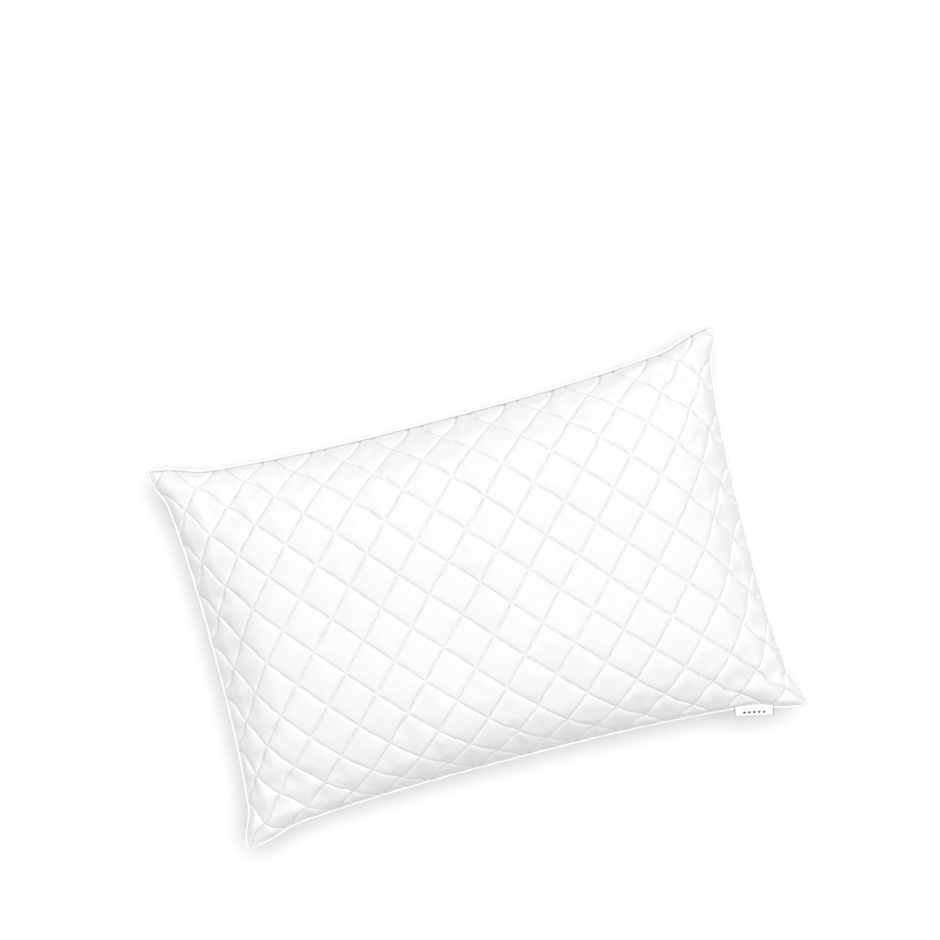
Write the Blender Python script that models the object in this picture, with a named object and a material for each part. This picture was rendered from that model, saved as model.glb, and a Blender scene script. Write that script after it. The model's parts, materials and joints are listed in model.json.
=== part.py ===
"""A queen-size bed pillow with quilted panels, built from the pieces it is sewn from.

Frame: the pillow lies on z = 0, +X runs along its length, +Y across it and +Z up, with the
origin under the middle of its box. Each panel is cut flat, and (u, v) are fractions of that
cut: -1 to 1 from seam to seam along X and along Y. Every layer is worked out from (u, v), so
the layers stay parallel however the filled pillow bulges.
"""
import math

import bmesh
import bpy
from mathutils import Vector

MM = 0.001

# The filled pillow, over its piping. Its edges pull in between the corners.
MID_LENGTH = 0.684
MID_WIDTH = 0.440
TIP_LENGTH = 0.731
TIP_WIDTH = 0.4955
THICKNESS = 0.170
SEAM_HEIGHT = 0.080
CORNER_DROOP = 0.007

# How an edge swings out to its corners: mostly a bow, and near the end a short ear.
BOW_POWER = 2.6
EAR_SHARE = 0.32
EAR_START = 0.80
EAR_END = 0.95

# How the cloth bulges. Bunching is how much further out than on the cut a point lies; it fades
# towards the seams. The crown, the height of the bulge, falls off with these exponents. The
# underside would hang this far below the seam if what it lies on didn't flatten it.
BUNCH_LENGTH = 0.073
BUNCH_WIDTH = 0.129
BUNCH_POWER_LENGTH = 8
BUNCH_POWER_WIDTH = 5
BUNCH_FADE_LENGTH = 4
BUNCH_FADE_WIDTH = 5
CROWN_ALONG = (2.4, 0.50)
CROWN_ACROSS = (3.0, 0.50)
UNDERSIDE_DEPTH = 0.125

# A panel between its seams, and its quilting: half the diagonals of a diamond, where one
# crossing lies, and the lines of crossings that fit on either side of it.
CUT_LENGTH = 0.750
CUT_WIDTH = 0.496
HALF_DIAMOND = (0.032, 0.034)
CROSSING = (0.0040, 0.0185)
CROSSING_COLUMNS = range(-11, 12)
CROSSING_ROWS = range(-7, 7)
THREAD_HALF_WIDTH = 0.6 * MM
THREAD_HEIGHT = 1.0 * MM

# Depths of each layer of a panel below its outer face, top and underside of the layer.
FACE_CLOTH = (0.0, 1.0 * MM)
THREAD_TOP = 1.8 * MM
WADDING = (7.8 * MM, 11.2 * MM)
BACKING = (11.7 * MM, 12.4 * MM)
FILL_DEPTH = 12.9 * MM

# The edge: a piping cord in a folded strip, whose two leaves run in between the panels.
PIPING_RADIUS = 1.6 * MM
CORD_RADIUS = 0.75 * MM
CORD_SIDES = 5
STITCH_RADIUS = 0.32 * MM
STITCH_SIDES = 3
STITCH_INSET = 2.6 * MM
PANEL_INSET = 2.9 * MM
PANEL_LIFT = 1.4 * MM
COVER_OUTSIDE = ((-4.0, 0.75), (-0.8, 1.25), (0.8, 1.38), (1.6, 0.0))
COVER_INSIDE = ((-4.0, 0.40), (-0.7, 0.93), (0.6, 0.95), (1.1, 0.0))

# The folded ribbon sewn into a long seam. It turns about its root, just outside the piping.
LABEL_START_X = 0.273
LABEL_END_X = 0.3215
LABEL_REACH = 9.0 * MM
LABEL_CLEARANCE = 0.9 * MM
LABEL_HALF_THICKNESS = 0.5 * MM
RIBBON_THICKNESS = 0.35 * MM

WHITE_COTTON = ((0.93, 0.93, 0.92), 0.80)
WHITE_THREAD = ((0.95, 0.95, 0.94), 0.55)
WHITE_WADDING = ((0.96, 0.96, 0.95), 0.95)
NATURAL_CORD = ((0.90, 0.89, 0.85), 0.90)
WHITE_RIBBON = ((0.96, 0.96, 0.96), 0.45)


def clear_scene():
    for item in list(bpy.data.objects):
        bpy.data.objects.remove(item, do_unlink=True)


def add_object(name, mesh_builder, finish):
    """Turn a bmesh into a named object with its own material and outward faces."""
    bmesh.ops.recalc_face_normals(mesh_builder, faces=mesh_builder.faces)
    mesh = bpy.data.meshes.new(name)
    mesh_builder.to_mesh(mesh)
    mesh_builder.free()
    colour, roughness = finish
    material = bpy.data.materials.new(name)
    material.use_nodes = True
    shader = material.node_tree.nodes["Principled BSDF"]
    shader.inputs["Base Color"].default_value = (*colour, 1.0)
    shader.inputs["Roughness"].default_value = roughness
    shader.inputs["Metallic"].default_value = 0.0
    mesh.materials.append(material)
    item = bpy.data.objects.new(name, mesh)
    bpy.context.collection.objects.link(item)
    return item


# ---- the shape of the filled pillow ------------------------------------------------------

def bunched(fraction, share, power):
    """Plan position, -1 to 1, of a point of the cut; cloth crowds where it turns down."""
    return fraction * (1 + share * (1 - abs(fraction) ** power))


def plan_fractions(u, v):
    """Plan position of (u, v) as fractions of the half length and half width there."""
    share_along = BUNCH_LENGTH * (1 - abs(v) ** BUNCH_FADE_LENGTH)
    share_across = BUNCH_WIDTH * (1 - abs(u) ** BUNCH_FADE_WIDTH)
    along = bunched(u, share_along, BUNCH_POWER_LENGTH)
    across = bunched(v, share_across, BUNCH_POWER_WIDTH)
    return along, across


def flare(fraction):
    """0 in the middle of an edge and 1 at its corners."""
    step = min(1.0, max(0.0, (abs(fraction) - EAR_START) / (EAR_END - EAR_START)))
    ear = step * step * (3 - 2 * step)
    return (1 - EAR_SHARE) * abs(fraction) ** BOW_POWER + EAR_SHARE * ear


def half_length(v):
    return (MID_LENGTH + (TIP_LENGTH - MID_LENGTH) * flare(v)) / 2


def half_width(u):
    return (MID_WIDTH + (TIP_WIDTH - MID_WIDTH) * flare(u)) / 2


def plan_point(u, v, inset):
    along, across = plan_fractions(u, v)
    return along * (half_length(v) - inset), across * (half_width(u) - inset)


def crown(u, v):
    """Height of the bulge, 1 in the middle and 0 all along the seam."""
    along, across = plan_fractions(u, v)
    along_power, along_round = CROWN_ALONG
    across_power, across_round = CROWN_ACROSS
    length_part = max(0.0, 1 - abs(along) ** along_power) ** along_round
    width_part = max(0.0, 1 - abs(across) ** across_power) ** across_round
    return length_part * width_part


def seam_height(u, v):
    return SEAM_HEIGHT - CORNER_DROOP * abs(u) ** 4 * abs(v) ** 4


def panel_point(side, u, v, depth):
    """A point of the top (side 1) or bottom (side -1) panel, depth below its outer face."""
    x, y = plan_point(u, v, PANEL_INSET)
    edge = seam_height(u, v) + side * (PANEL_LIFT + FACE_CLOTH[1])
    if side > 0:
        rise = THICKNESS - SEAM_HEIGHT - PANEL_LIFT - FACE_CLOTH[1]
        outer = edge + rise * crown(u, v)
    else:
        outer = max(0.0, edge - UNDERSIDE_DEPTH * crown(u, v))
    return Vector((x, y, outer - side * depth))


def full_grid():
    """The lines of crossings, so that the quilting runs through grid points, and the seams."""
    us = [2 * (CROSSING[0] + i * HALF_DIAMOND[0]) / CUT_LENGTH for i in CROSSING_COLUMNS]
    vs = [2 * (CROSSING[1] + j * HALF_DIAMOND[1]) / CUT_WIDTH for j in CROSSING_ROWS]
    return [-1.0] + us + [1.0], [-1.0] + vs + [1.0]


def inner_grid():
    """Every second grid line, one line in from the seam, for the layers inside the cover."""
    us, vs = full_grid()
    middle = len(vs) // 2
    return us[1:-1:2], vs[1:middle:2] + vs[middle:-1:2]


# ---- solids ------------------------------------------------------------------------------

def grid_triangles(corners, row, column):
    """Split one grid cell so that its diagonal joins two points of the quilting."""
    a, b, c, d = corners
    if (row + column) % 2 == 0:
        return (a, b, c), (a, c, d)
    return (a, b, d), (b, c, d)


def solid_between(grid, upper, lower):
    """A closed solid between two surfaces that are functions of (u, v)."""
    us, vs = grid
    builder = bmesh.new()
    layers = []
    for surface in (upper, lower):
        layers.append([[builder.verts.new(surface(u, v)) for v in vs] for u in us])
    for layer in layers:
        for i in range(len(us) - 1):
            for j in range(len(vs) - 1):
                corners = (layer[i][j], layer[i + 1][j], layer[i + 1][j + 1], layer[i][j + 1])
                for triangle in grid_triangles(corners, i, j):
                    builder.faces.new(triangle)
    rim = rim_indices(len(us), len(vs))
    for (i, j), (k, m) in zip(rim, rim[1:] + rim[:1]):
        builder.faces.new((layers[0][i][j], layers[0][k][m], layers[1][k][m], layers[1][i][j]))
    return builder


def rim_indices(columns, rows):
    """Grid positions once round the border."""
    rim = [(i, 0) for i in range(columns - 1)]
    rim += [(columns - 1, j) for j in range(rows - 1)]
    rim += [(i, rows - 1) for i in range(columns - 1, 0, -1)]
    rim += [(0, j) for j in range(rows - 1, 0, -1)]
    return rim


def panel_layer(side, depths, grid):
    return solid_between(
        grid,
        lambda u, v: panel_point(side, u, v, depths[0]),
        lambda u, v: panel_point(side, u, v, depths[1]),
    )


def fill_body(grid):
    return solid_between(
        grid,
        lambda u, v: panel_point(1, u, v, FILL_DEPTH),
        lambda u, v: panel_point(-1, u, v, FILL_DEPTH),
    )


# ---- the quilting thread: one net of lines through every second grid point --------------

def net_knot(builder, side, u, v):
    """The four corners of a crossing, named by direction, and the keel point below it."""
    step = 0.01
    along = panel_point(side, u + step, v, 0) - panel_point(side, u - step, v, 0)
    across = panel_point(side, u, v + step, 0) - panel_point(side, u, v - step, 0)
    middle = panel_point(side, u, v, THREAD_TOP)
    corners = {}
    for sign in (1, -1):
        corners["u", sign] = builder.verts.new(
            middle + along.normalized() * sign * THREAD_HALF_WIDTH)
        corners["v", sign] = builder.verts.new(
            middle + across.normalized() * sign * THREAD_HALF_WIDTH)
    keel = builder.verts.new(panel_point(side, u, v, THREAD_TOP + THREAD_HEIGHT))
    return corners, keel


def net_line(builder, start, end, rise):
    """A three-sided strip from one crossing to the next; rise is its direction across."""
    start_corners, start_keel = start
    end_corners, end_keel = end
    near, far = start_corners["u", 1], end_corners["v", -rise]
    other_near, other_far = start_corners["v", rise], end_corners["u", -1]
    builder.faces.new((near, far, other_far, other_near))
    builder.faces.new((near, far, end_keel, start_keel))
    builder.faces.new((other_near, other_far, end_keel, start_keel))


def quilting_net(side):
    us, vs = full_grid()
    builder = bmesh.new()
    knots = {}
    for i in range(1, len(us) - 1):
        for j in range(1, len(vs) - 1):
            if (i + j) % 2 == 0:
                knots[i, j] = net_knot(builder, side, us[i], vs[j])
    for (i, j), (corners, keel) in knots.items():
        builder.faces.new((corners["u", 1], corners["v", 1], corners["u", -1], corners["v", -1]))
        for run in (1, -1):
            for rise in (1, -1):
                neighbour = knots.get((i + run, j + rise))
                if neighbour is None:
                    builder.faces.new((corners["u", run], corners["v", rise], keel))
                elif run == 1:
                    net_line(builder, (corners, keel), neighbour, rise)
    return builder


# ---- the edge ----------------------------------------------------------------------------

def edge_ring(section):
    """Sweep a closed section, (outwards, up) pairs from the piping's middle, round the seam."""
    us, vs = full_grid()
    builder = bmesh.new()
    rings = []
    for i, j in rim_indices(len(us), len(vs)):
        ring = []
        for outwards, up in section:
            x, y = plan_point(us[i], vs[j], PIPING_RADIUS - outwards)
            ring.append(builder.verts.new((x, y, seam_height(us[i], vs[j]) + up)))
        rings.append(ring)
    for ring, following in zip(rings, rings[1:] + rings[:1]):
        for k in range(len(section)):
            m = (k + 1) % len(section)
            builder.faces.new((ring[k], ring[m], following[m], following[k]))
    return builder


def round_section(radius, sides, outwards):
    turns = [2 * math.pi * k / sides for k in range(sides)]
    return [(outwards + radius * math.cos(turn), radius * math.sin(turn)) for turn in turns]


def cover_section():
    """The strip folded round the cord: down its outside, then back up its inside."""
    outside = [(n * MM, z * MM) for n, z in COVER_OUTSIDE]
    inside = [(n * MM, z * MM) for n, z in COVER_INSIDE]
    outside += [(n, -z) for n, z in reversed(outside[:-1])]
    inside += [(n, -z) for n, z in reversed(inside[:-1])]
    return outside + inside[::-1]


# ---- the label ---------------------------------------------------------------------------

def long_seam_point(x):
    """The piping's outer edge on the -Y seam, at a distance x along the pillow."""
    u = 2 * x / TIP_LENGTH
    return Vector((x, -half_width(u), seam_height(u, 1.0)))


def label_profile():
    """A ribbon folded double: its outer outline, and its inner one from end to end."""
    fold = LABEL_REACH
    half = LABEL_HALF_THICKNESS
    slot = half - RIBBON_THICKNESS
    outer = [(0.0, half), (fold - half, half), (fold, 0.0), (fold - half, -half), (0.0, -half)]
    inner = [(0.0, slot), (fold - half, slot), (fold - half, 0.0), (fold - half, -slot)]
    inner += [(0.0, -slot)]
    return outer, inner


def label_mesh(width):
    outer, inner = label_profile()
    builder = bmesh.new()
    ends = []
    for x in (-width / 2, width / 2):
        ends.append([[builder.verts.new((x, -y, z)) for y, z in line] for line in (outer, inner)])
    for end in ends:
        for k in range(len(outer) - 1):
            builder.faces.new((end[0][k], end[0][k + 1], end[1][k + 1], end[1][k]))
    first, second = ends
    for line in (0, 1):
        for k in range(len(outer) - 1):
            builder.faces.new((first[line][k], first[line][k + 1],
                               second[line][k + 1], second[line][k]))
    for k in (0, -1):
        builder.faces.new((first[0][k], first[1][k], second[1][k], second[0][k]))
    return builder


def build_label():
    start = long_seam_point(LABEL_START_X)
    end = long_seam_point(LABEL_END_X)
    run = end - start
    turn = math.atan2(run.y, run.x)
    outwards = Vector((run.y, -run.x, 0.0)).normalized()
    label = add_object("side_label", label_mesh(run.length), WHITE_RIBBON)
    label.location = (start + end) / 2 + outwards * LABEL_CLEARANCE
    label.rotation_euler = (0.0, 0.0, turn)


# ---- the whole pillow --------------------------------------------------------------------

def build_panel(prefix, side):
    add_object(prefix + "_face_cloth", panel_layer(side, FACE_CLOTH, full_grid()), WHITE_COTTON)
    add_object(prefix + "_quilting_thread", quilting_net(side), WHITE_THREAD)
    add_object(prefix + "_wadding", panel_layer(side, WADDING, inner_grid()), WHITE_WADDING)
    add_object(prefix + "_backing_cloth", panel_layer(side, BACKING, inner_grid()), WHITE_COTTON)


def build_edge():
    add_object("piping_cover", edge_ring(cover_section()), WHITE_COTTON)
    cord = round_section(CORD_RADIUS, CORD_SIDES, 0.0)
    add_object("piping_cord", edge_ring(cord), NATURAL_CORD)
    stitch = round_section(STITCH_RADIUS, STITCH_SIDES, -STITCH_INSET)
    add_object("seam_thread", edge_ring(stitch), WHITE_THREAD)


def main():
    clear_scene()
    build_panel("top", 1)
    build_panel("bottom", -1)
    add_object("fibre_fill", fill_body(inner_grid()), WHITE_WADDING)
    build_edge()
    build_label()


main()
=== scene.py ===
"""The looks of a quilted bed pillow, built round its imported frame.

A cloth simulation blows the two panels up, a little slack, from the frame's plain form. Every
layer is then laid on the result from the same (p, q), a point's place on the flat cut in
metres, so the quilting is straight on the cloth and bends only with it.
"""
import json
import math

import bpy
import numpy as np
from mathutils import Matrix, Vector


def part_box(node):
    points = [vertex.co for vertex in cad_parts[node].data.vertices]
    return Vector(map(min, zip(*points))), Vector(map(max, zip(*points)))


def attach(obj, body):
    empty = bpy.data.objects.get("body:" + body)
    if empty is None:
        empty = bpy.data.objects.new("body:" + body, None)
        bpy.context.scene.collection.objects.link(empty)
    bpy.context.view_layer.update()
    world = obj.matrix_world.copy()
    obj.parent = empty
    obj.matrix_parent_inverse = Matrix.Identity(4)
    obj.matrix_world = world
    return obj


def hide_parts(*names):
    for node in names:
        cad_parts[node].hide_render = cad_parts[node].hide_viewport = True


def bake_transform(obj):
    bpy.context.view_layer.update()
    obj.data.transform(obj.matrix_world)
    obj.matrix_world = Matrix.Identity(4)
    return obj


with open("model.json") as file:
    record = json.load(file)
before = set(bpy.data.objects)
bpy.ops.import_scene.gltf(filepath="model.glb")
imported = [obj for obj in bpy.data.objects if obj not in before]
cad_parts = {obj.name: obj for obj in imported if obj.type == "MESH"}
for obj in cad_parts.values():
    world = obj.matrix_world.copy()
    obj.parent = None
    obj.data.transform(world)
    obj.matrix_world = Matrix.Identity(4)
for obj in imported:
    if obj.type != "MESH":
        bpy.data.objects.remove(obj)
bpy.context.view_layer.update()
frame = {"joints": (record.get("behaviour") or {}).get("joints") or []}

MM = 0.001

# The filled pillow's size, over the piping, as the frame has it: over the corner tips and between
# the middles of the edges, and its heights.
TIP_LOW, TIP_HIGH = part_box("piping_cover")
TIP_LENGTH = TIP_HIGH[0] - TIP_LOW[0]
TIP_WIDTH = TIP_HIGH[1] - TIP_LOW[1]
MID_LENGTH = 0.684
MID_WIDTH = 0.440
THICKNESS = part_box("top_face_cloth")[1][2]
SEAM_HEIGHT = 0.080
CORNER_DROOP = 0.007

# How the edges bow from tip to tip: a smooth bow, and the share and the stretch of an edge, from
# 0 in its middle to 1 at a tip, in which it flares out to an ear.
BOW_POWER = 2.6
EAR_SHARE = 0.32
EAR_START = 0.80
EAR_END = 0.95

# How much the cloth bunches up towards the seams, along and across, how near to the seams, and
# how this fades towards the other two; and the powers that round the crown.
BUNCH_LENGTH = 0.073
BUNCH_WIDTH = 0.129
BUNCH_POWER_LENGTH = 8
BUNCH_POWER_WIDTH = 5
BUNCH_FADE_LENGTH = 4
BUNCH_FADE_WIDTH = 5
CROWN_ALONG = (2.4, 0.50)
CROWN_ACROSS = (3.0, 0.50)
UNDERSIDE_DEPTH = 0.125

# A panel's flat size between its seams, and the quilting on it: half the diagonals of a
# diamond, and where one crossing lies.
CUT_LENGTH = 0.750
CUT_WIDTH = 0.496
HALF_DIAMOND = (0.032, 0.034)
CROSSING = (0.0040, 0.0185)
LINE_SPACING = 2 * HALF_DIAMOND[0] * HALF_DIAMOND[1] / math.hypot(*HALF_DIAMOND)

# How deep the quilting pulls the cloth in, how round and how uneven the puffs are, and how deep
# and wide the pulled groove is.
PUFF_DEPTH = 2.3 * MM
PUFF_ROUND = 3.4
PUFF_LEAST = 0.88
PUFF_SPREAD = 0.24
GROOVE_DEPTH = 1.8 * MM
GROOVE_WIDTH = 1.5 * MM

# How much deeper the grooves are at the seam, where the lines are caught, and how far in.
SEAM_PULL = 1.2
SEAM_PULL_REACH = 0.025

# How much shallower the grooves are at a crossing, and how far from it; and the pinch right at
# the stitches, finer than the mesh: its width, its depth, and the shade painted along it.
CROSSING_SHARE = 0.5
CROSSING_FADE = 4.5 * MM
PINCH_WIDTH = 1.3 * MM
PINCH_DEPTH = 0.6 * MM
PINCH_PAINTED_SHADE = 0.30

# The layers behind the face cloth: their depths below it, and the gap between the two panels
# from which on they are full thickness. The fibre's lumps grow as the gap does; FINE_CLUMPS is
# the size of its finer ones over that of the broad ones.
WADDING_TOP = 0.9 * MM
WADDING_BACK = 2.2 * MM
WADDING_BULGE = 4.0 * MM
BACKING_GAP = 0.5 * MM
FILL_DEPTH = 12.6 * MM
FILL_LUMPS = 1.2 * MM
FINE_CLUMPS = 0.6
FULL_ROOM = 27 * MM

# Stitches, of the quilting and of the seam, how far from the seam the quilting's end, and the
# lowest that they may lie.
STITCH_PITCH = 3.3 * MM
STITCH_LENGTH = 2.7 * MM
STITCH_RADIUS = 0.42 * MM
STITCH_MARGIN = 2.5 * MM
STITCH_LOWEST = 0.05 * MM
SEAM_STITCH_RADIUS = 0.28 * MM
SEAM_STITCH_INSET = 1.5 * MM
SEAM_STITCH_WAVE = 0.9 * MM

# The edge: how far the seam lies inside the piping's outline, how far the panels part there for
# the piping's leaves, and the seam allowance that is turned in behind it.
SEAM_INSET = 3.2 * MM
SEAM_PARTING = 0.55 * MM
PARTING_REACH = 8 * MM
ALLOWANCE = 6.0 * MM
ALLOWANCE_ROWS = 2
ALLOWANCE_DROP = 0.25 * MM

# The piping: its cord, and its cover, which is a strip with two leaves, gathered a little
# between the stitches.
PIPING_RADIUS = 1.35 * MM
PIPING_CLEARANCE = 0.15 * MM
PIPING_OPENING = math.radians(150)
PIPING_LEAF = ((-5.0 * MM, 0.22 * MM), (-2.6 * MM, 0.24 * MM))
PIPING_GATHER = 0.035
CORD_RADIUS = 0.9 * MM
CORD_STRANDS = 3
CORD_LOBE = 0.14
CORD_TWIST = 0.7 / MM

# The label: how far it reaches out from its hinge, its ribbon's half thickness, how much it
# waves, where it bends from the piping's line into a straight one, the width of the grey shade
# painted along its two side edges, and the row of lozenges woven into it in place of a mark.
LABEL_REACH = 9.0 * MM
RIBBON_HALF = 0.15 * MM
LABEL_WAVE = 0.6 * MM
LABEL_WAVE_TURN = 5.5
LABEL_WAVE_PHASE = 0.6
LABEL_SETTLE = 8 * MM
LABEL_EDGE_SHADE_WIDTH = 0.9 * MM
MOTIF_COUNT = 5
MOTIF_PITCH = 6.2 * MM
MOTIF_HALF = (2.3 * MM, 1.7 * MM)
MOTIF_OUT = 6.5 * MM

# The cloth's weave, over one thread and under the next, and the ribbon's ribs; and how far apart
# the points of a tube's section are on its texture.
WEAVE_PERIOD = 0.9 * MM
RIB_PERIOD = 1.0 * MM
AROUND_STEP = 0.9 * MM

# Steps of each grid in one half diamond, the narrowest cell it may have at the seam, how many
# grid lines the inner layers and the fibre stop short of the seam, and the steps along the edge,
# round its corners and across the label.
FACE_STEPS = 16
LAYER_STEPS = 8
FILL_STEPS = 4
LEAST_CELL = 0.3
LAYER_MARGIN = 4
FILL_MARGIN = 3
SEAM_STEP = 2.0 * MM
CORNER_STEP = 0.15
PIPING_STEP = 1.1 * MM
PIPING_SIDES = 11
THREAD_SIDES = 5
SEAM_STITCH_STEP = 0.55 * MM
LABEL_COLUMNS = 26

# The grid, the steps and the pressure of the simulation.
SIM_CELLS = (96, 62)
SIM_FRAMES = 12
SIM_PRESSURE = 0.3

# The cloth's slack, its size at rest over its size on the plain form. How firmly the seam is
# held, and up to what height the underside counts as resting and is held fully.
EASE = 1.008
SEAM_HOLD = 0.5
RESTING_HEIGHT = 0.1 * MM

# The unevenness that the cloth buckles by, along the seam and further in, and how far the first
# reaches from the seam.
PUCKER = 1.1 * MM
LUMPS = 0.8 * MM
PUCKER_REACH = 0.07

# Folds that fan out from a corner: their height by the label and their share of it at the other
# corners, how far from the corner they are highest, and how many turns they make round it.
FOLD_HEIGHT = 1.5 * MM
FOLD_SHARE = 0.3
FOLD_REACH = 0.03
FOLD_TURNS = 8


# ---- the shape that the simulation starts from -------------------------------------------

def bunched(fraction, share, power):
    """A place from -1 to 1 on the cut, moved outwards, as the cloth bunches up at the seams."""
    return fraction * (1 + share * (1 - abs(fraction) ** power))


def flare(fraction):
    """How far the outline bows out here, from 0 in an edge's middle to 1 at its corners."""
    step = np.clip((abs(fraction) - EAR_START) / (EAR_END - EAR_START), 0, 1)
    ear = step * step * (3 - 2 * step)
    return (1 - EAR_SHARE) * abs(fraction) ** BOW_POWER + EAR_SHARE * ear


def start_shape(side, u, v):
    """The filled pillow's plain form, side 1 the top and -1 the underside, as the frame has it."""
    share_along = BUNCH_LENGTH * (1 - abs(v) ** BUNCH_FADE_LENGTH)
    share_across = BUNCH_WIDTH * (1 - abs(u) ** BUNCH_FADE_WIDTH)
    along = bunched(u, share_along, BUNCH_POWER_LENGTH)
    across = bunched(v, share_across, BUNCH_POWER_WIDTH)
    half_length = (MID_LENGTH + (TIP_LENGTH - MID_LENGTH) * flare(v)) / 2
    half_width = (MID_WIDTH + (TIP_WIDTH - MID_WIDTH) * flare(u)) / 2
    length_part = np.maximum(0, 1 - abs(along) ** CROWN_ALONG[0]) ** CROWN_ALONG[1]
    width_part = np.maximum(0, 1 - abs(across) ** CROWN_ACROSS[0]) ** CROWN_ACROSS[1]
    crown = length_part * width_part
    seam = SEAM_HEIGHT - CORNER_DROOP * u ** 4 * v ** 4
    if side > 0:
        height = seam + (THICKNESS - SEAM_HEIGHT) * crown
    else:
        height = np.maximum(0, seam - UNDERSIDE_DEPTH * crown)
    x = along * (half_length - SEAM_INSET)
    y = across * (half_width - SEAM_INSET)
    return np.stack([x, y, height], -1)


def grid_lines(extent, crossing, spacing):
    """The seams, and between them lines a spacing apart that run through the crossings."""
    first = math.ceil((-extent / 2 - crossing) / spacing + LEAST_CELL)
    last = math.floor((extent / 2 - crossing) / spacing - LEAST_CELL)
    inner = crossing + spacing * np.arange(first, last + 1)
    return np.concatenate([[-extent / 2], inner, [extent / 2]])


def from_seam(p, q):
    """Distance on the cut to the nearest seam."""
    return np.minimum(CUT_LENGTH / 2 - abs(p), CUT_WIDTH / 2 - abs(q))


# ---- the simulation ----------------------------------------------------------------------

def shared_indices(shape):
    """Vertex numbers of both panels' grids, which share their border, the seam."""
    top = np.arange(shape[0] * shape[1]).reshape(shape)
    seam = np.ones(shape, bool)
    seam[1:-1, 1:-1] = False
    bottom = top.copy()
    bottom[~seam] = top.size + np.arange((~seam).sum())
    return top, bottom, seam


def quad_faces(index, flip):
    """A face for each cell of a grid of vertex numbers."""
    corners = [index[:-1, :-1], index[1:, :-1], index[1:, 1:], index[:-1, 1:]]
    if flip:
        corners.reverse()
    return np.stack(corners, -1).reshape(-1, 4)


def corner_folds(p, q):
    """Small folds that fan out from each corner, where the cloth is gathered."""
    from_end = CUT_LENGTH / 2 - abs(p)
    from_side = CUT_WIDTH / 2 - abs(q)
    reach = np.hypot(from_end, from_side)
    turn = np.arctan2(from_side, from_end + 1e-6)
    phase = 1.7 * (np.sign(p) + 2 * np.sign(q))
    folds = (0.5 + 0.5 * np.sin(FOLD_TURNS * turn + phase)) * np.sin(2 * turn)
    height = FOLD_HEIGHT * np.where((p > 0) & (q < 0), 1.0, FOLD_SHARE)
    return height * folds * (reach / FOLD_REACH) * np.exp(1 - reach / FOLD_REACH)


def pucker(p, q):
    """Slight unevenness along the seam, where the quilting lines end, for the cloth to buckle by."""
    near = np.exp(-from_seam(p, q) / PUCKER_REACH)
    waves = np.sin(2 * math.pi * p / HALF_DIAMOND[0] + 0.7 + 9 * q)
    waves += np.sin(2 * math.pi * q / HALF_DIAMOND[1] + 0.3 + 7 * p)
    lumps = np.sin(23 * p + 2.1) * np.sin(31 * q + 0.4) + np.sin(41 * p - 17 * q)
    return PUCKER * near * waves + LUMPS * (1 - near) * lumps + corner_folds(p, q)


def add_cloth(panels, held_group, rest_key):
    """Make the panels a light cloth under pressure, without weight, that may cross itself."""
    # The cloth takes up its rest key only behind another modifier; this one joins nothing.
    panels.modifiers.new("Weld", "WELD").merge_threshold = 0.0
    cloth = panels.modifiers.new("Cloth", "CLOTH")
    settings = cloth.settings
    settings.quality = 6
    settings.mass = 0.3
    settings.tension_stiffness = 15
    settings.compression_stiffness = 4
    settings.shear_stiffness = 3
    settings.bending_stiffness = 0.35
    settings.use_pressure = True
    settings.uniform_pressure_force = SIM_PRESSURE
    settings.vertex_group_mass = held_group.name
    settings.pin_stiffness = 1.5
    settings.rest_shape_key = rest_key
    settings.effector_weights.gravity = 0
    cloth.collision_settings.use_collision = False
    cloth.point_cache.frame_start = 1
    cloth.point_cache.frame_end = SIM_FRAMES


def add_panels(start, top_index, bottom_index):
    """Both panels as one mesh, sewn along the seam, and a shape key that holds them slack."""
    mesh = bpy.data.meshes.new("panels")
    faces = np.concatenate([quad_faces(top_index, False), quad_faces(bottom_index, True)])
    mesh.from_pydata(start.tolist(), [], faces.tolist())
    panels = bpy.data.objects.new("panels", mesh)
    bpy.context.collection.objects.link(panels)
    panels.shape_key_add(name="Start")
    rest_key = panels.shape_key_add(name="Slack")
    rest_key.data.foreach_set("co", (start * EASE).ravel())
    rest_key.value = 0
    return panels, rest_key


def run_cloth(panels):
    """Step through the simulation, take the points it ends with, and remove the panels."""
    for number in range(1, SIM_FRAMES + 1):
        bpy.context.scene.frame_set(number)
    evaluated = panels.evaluated_get(bpy.context.evaluated_depsgraph_get())
    result = evaluated.to_mesh()
    points = np.empty(3 * len(result.vertices), np.float32)
    result.vertices.foreach_get("co", points)
    evaluated.to_mesh_clear()
    bpy.data.objects.remove(panels, do_unlink=True)
    bpy.context.scene.frame_set(1)
    return points.reshape(-1, 3).astype(float)


def inflate():
    """Let the sewn panels buckle and fill. Gives the top and the bottom grid of points."""
    u, v = np.meshgrid(*[np.linspace(-1, 1, cells + 1) for cells in SIM_CELLS], indexing="ij")
    p, q = u * CUT_LENGTH / 2, v * CUT_WIDTH / 2
    top_index, bottom_index, seam = shared_indices(p.shape)
    top = start_shape(1, u, v)
    top[..., 2] += pucker(p, q)
    bottom = start_shape(-1, u, v)
    start = np.concatenate([top.reshape(-1, 3), bottom[~seam]])
    panels, rest_key = add_panels(start, top_index, bottom_index)
    held = panels.vertex_groups.new(name="held")
    held.add(top_index[seam].tolist(), SEAM_HOLD, "REPLACE")
    resting = (bottom[..., 2] < RESTING_HEIGHT) & ~seam
    held.add(bottom_index[resting].tolist(), 1.0, "REPLACE")
    add_cloth(panels, held, rest_key)
    points = run_cloth(panels)
    return points[top_index], points[bottom_index]


# ---- refined grids, normals and room -----------------------------------------------------

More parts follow.
